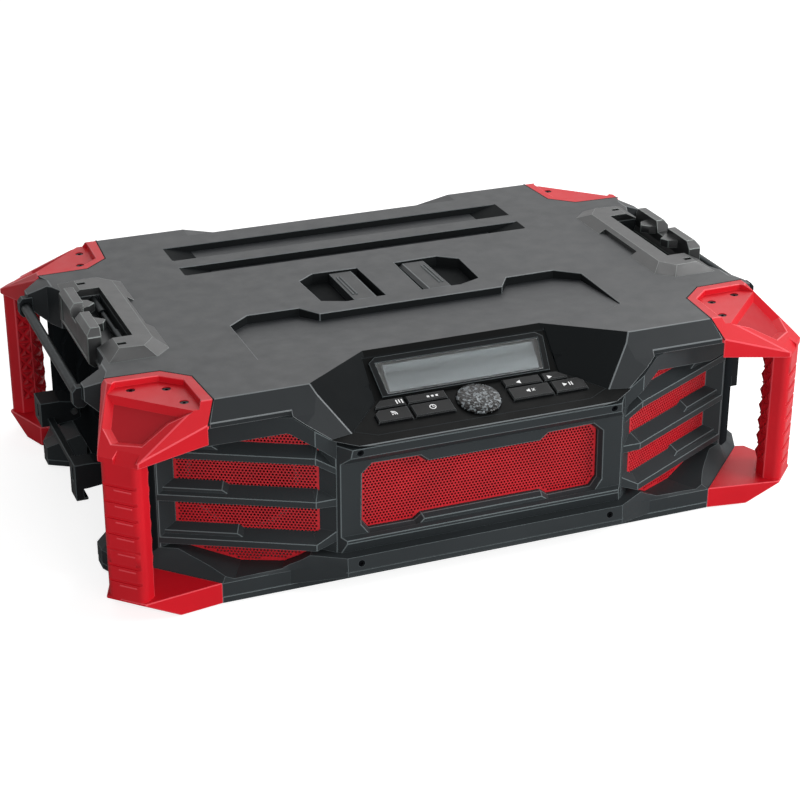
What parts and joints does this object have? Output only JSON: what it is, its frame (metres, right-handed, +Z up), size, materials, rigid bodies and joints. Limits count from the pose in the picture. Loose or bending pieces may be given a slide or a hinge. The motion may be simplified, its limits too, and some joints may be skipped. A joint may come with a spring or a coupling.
{
  "type": "jobsite radio",
  "caption": "Rugged stackable worksite radio: carry handles at the corners, slanted side speakers, sloping console with display, keys and dial, latches and a rear battery bay.",
  "frame": {"origin": "on the ground under the middle of the case", "axes": "+X to the right of a person facing the console, +Y to the back, +Z up"},
  "size_m": [0.5558, 0.4, 0.1705],
  "materials": {
    "deck_grey": "fine moulded texture, satin",
    "case_grey": "fine moulded texture, matte",
    "trim_black": "fine moulded texture, matte",
    "guard_red": "satin moulded plastic",
    "mesh_red": "satin powder coat on perforated sheet",
    "console_black": "smooth satin",
    "key_black": "smooth satin with printed marks",
    "bezel_grey": "satin",
    "lens_clear": "clear polished",
    "display_grey": "matte panel",
    "knob_clear": "clear faceted dome over silver flakes",
    "latch_black": "satin moulded plastic",
    "rod_dark": "satin paint",
    "pin_steel": "bright",
    "screw_black": "black oxide",
    "seal_rubber": "matte",
    "foot_rubber": "matte",
    "mat_rubber": "matte",
    "board_green": "solder mask",
    "sink_metal": "anodised",
    "supply_metal": "plain",
    "basket_metal": "painted",
    "magnet_iron": "plain",
    "cone_black": "pressed pulp",
    "radiator_black": "matte",
    "encoder_grey": "matte"
  },
  "bodies": {
    "case": {"top_cover": "deck_grey", "body_shell": "case_grey", "base_tray": "case_grey", "bottom_plate": "trim_black", "rubber_feet": "foot_rubber", "lid_seal": "seal_rubber", "grille_frame": "case_grey", "centre_grille": "mesh_red", "right_louvre_frame": "case_grey", "left_louvre_frame": "case_grey", "right_speaker_mesh": "mesh_red", "left_speaker_mesh": "mesh_red", "console_panel": "console_black", "control_board": "board_green", "key_mat": "mat_rubber", "display_bezel": "bezel_grey", "display_lens": "lens_clear", "display_module": "display_grey", "knob_encoder": "encoder_grey", "rear_panel": "case_grey", "battery_dock": "trim_black", "door_hinge_pin": "pin_steel", "mains_inlet": "trim_black", "guard_front_right": "guard_red", "guard_front_left": "guard_red", "guard_rear_right": "guard_red", "guard_rear_left": "guard_red", "guard_screws": "screw_black", "case_screws": "screw_black", "latch_frame_right": "trim_black", "latch_frame_left": "trim_black", "lever_pins": "pin_steel", "latch_bars": "rod_dark", "side_rods": "rod_dark", "rod_arms": "trim_black", "stack_latch_pins": "pin_steel", "speaker_baskets": "basket_metal", "speaker_cones": "cone_black", "speaker_magnets": "magnet_iron", "bass_radiator": "radiator_black", "main_board": "board_green", "amplifier_heat_sink": "sink_metal", "power_supply": "supply_metal"},
    "key_equaliser": {"key_equaliser": "key_black"},
    "key_mode": {"key_mode": "key_black"},
    "key_previous": {"key_previous": "key_black"},
    "key_next": {"key_next": "key_black"},
    "key_wireless": {"key_wireless": "key_black"},
    "key_clock": {"key_clock": "key_black"},
    "key_mute": {"key_mute": "key_black"},
    "key_play": {"key_play": "key_black"},
    "knob": {"tuning_knob": "knob_clear"},
    "lever_right": {"latch_lever_right": "latch_black"},
    "lever_left": {"latch_lever_left": "latch_black"},
    "lock_right": {"slide_lock_right": "latch_black"},
    "lock_left": {"slide_lock_left": "latch_black"},
    "stack_right": {"stack_latch_right": "latch_black"},
    "stack_left": {"stack_latch_left": "latch_black"},
    "door": {"battery_door": "case_grey"}
  },
  "joints": [
    {"name": "key_equaliser_press", "type": "slide", "parent": "case", "child": "key_equaliser", "axis": [0, 0.2446, -0.9696], "range_m": [0, 0.001], "stiffness_N_per_m": 300, "springref_m": -0.001},
    {"name": "key_mode_press", "type": "slide", "parent": "case", "child": "key_mode", "axis": [0, 0.2446, -0.9696], "range_m": [0, 0.001], "stiffness_N_per_m": 300, "springref_m": -0.001},
    {"name": "key_previous_press", "type": "slide", "parent": "case", "child": "key_previous", "axis": [0, 0.2446, -0.9696], "range_m": [0, 0.001], "stiffness_N_per_m": 300, "springref_m": -0.001},
    {"name": "key_next_press", "type": "slide", "parent": "case", "child": "key_next", "axis": [0, 0.2446, -0.9696], "range_m": [0, 0.001], "stiffness_N_per_m": 300, "springref_m": -0.001},
    {"name": "key_wireless_press", "type": "slide", "parent": "case", "child": "key_wireless", "axis": [0, 0.2446, -0.9696], "range_m": [0, 0.001], "stiffness_N_per_m": 300, "springref_m": -0.001},
    {"name": "key_clock_press", "type": "slide", "parent": "case", "child": "key_clock", "axis": [0, 0.2446, -0.9696], "range_m": [0, 0.001], "stiffness_N_per_m": 300, "springref_m": -0.001},
    {"name": "key_mute_press", "type": "slide", "parent": "case", "child": "key_mute", "axis": [0, 0.2446, -0.9696], "range_m": [0, 0.001], "stiffness_N_per_m": 300, "springref_m": -0.001},
    {"name": "key_play_press", "type": "slide", "parent": "case", "child": "key_play", "axis": [0, 0.2446, -0.9696], "range_m": [0, 0.001], "stiffness_N_per_m": 300, "springref_m": -0.001},
    {"name": "knob_turn", "type": "hinge", "parent": "case", "child": "knob", "pos_m": [0.0015, -0.17295, 0.1267], "axis": [0, -0.2446, 0.9696], "continuous": true},
    {"name": "lever_right_swing", "type": "hinge", "parent": "case", "child": "lever_right", "pos_m": [0.246, 0, 0.145], "axis": [0, 1, 0], "range_deg": [0, 40]},
    {"name": "lever_left_swing", "type": "hinge", "parent": "case", "child": "lever_left", "pos_m": [-0.246, 0, 0.145], "axis": [0, -1, 0], "range_deg": [0, 40]},
    {"name": "lock_right_slide", "type": "slide", "parent": "case", "child": "lock_right", "axis": [1, 0, 0], "range_m": [0, 0.011]},
    {"name": "lock_left_slide", "type": "slide", "parent": "case", "child": "lock_left", "axis": [-1, 0, 0], "range_m": [0, 0.011]},
    {"name": "stack_right_swing", "type": "hinge", "parent": "case", "child": "stack_right", "pos_m": [0.251, 0, 0.071], "axis": [0, -1, 0], "range_deg": [0, 55]},
    {"name": "stack_left_swing", "type": "hinge", "parent": "case", "child": "stack_left", "pos_m": [-0.251, 0, 0.071], "axis": [0, 1, 0], "range_deg": [0, 55]},
    {"name": "door_swing", "type": "hinge", "parent": "case", "child": "door", "pos_m": [0.071, 0.1789, 0.08], "axis": [0, 0, -1], "range_deg": [0, 110]}
  ]
}
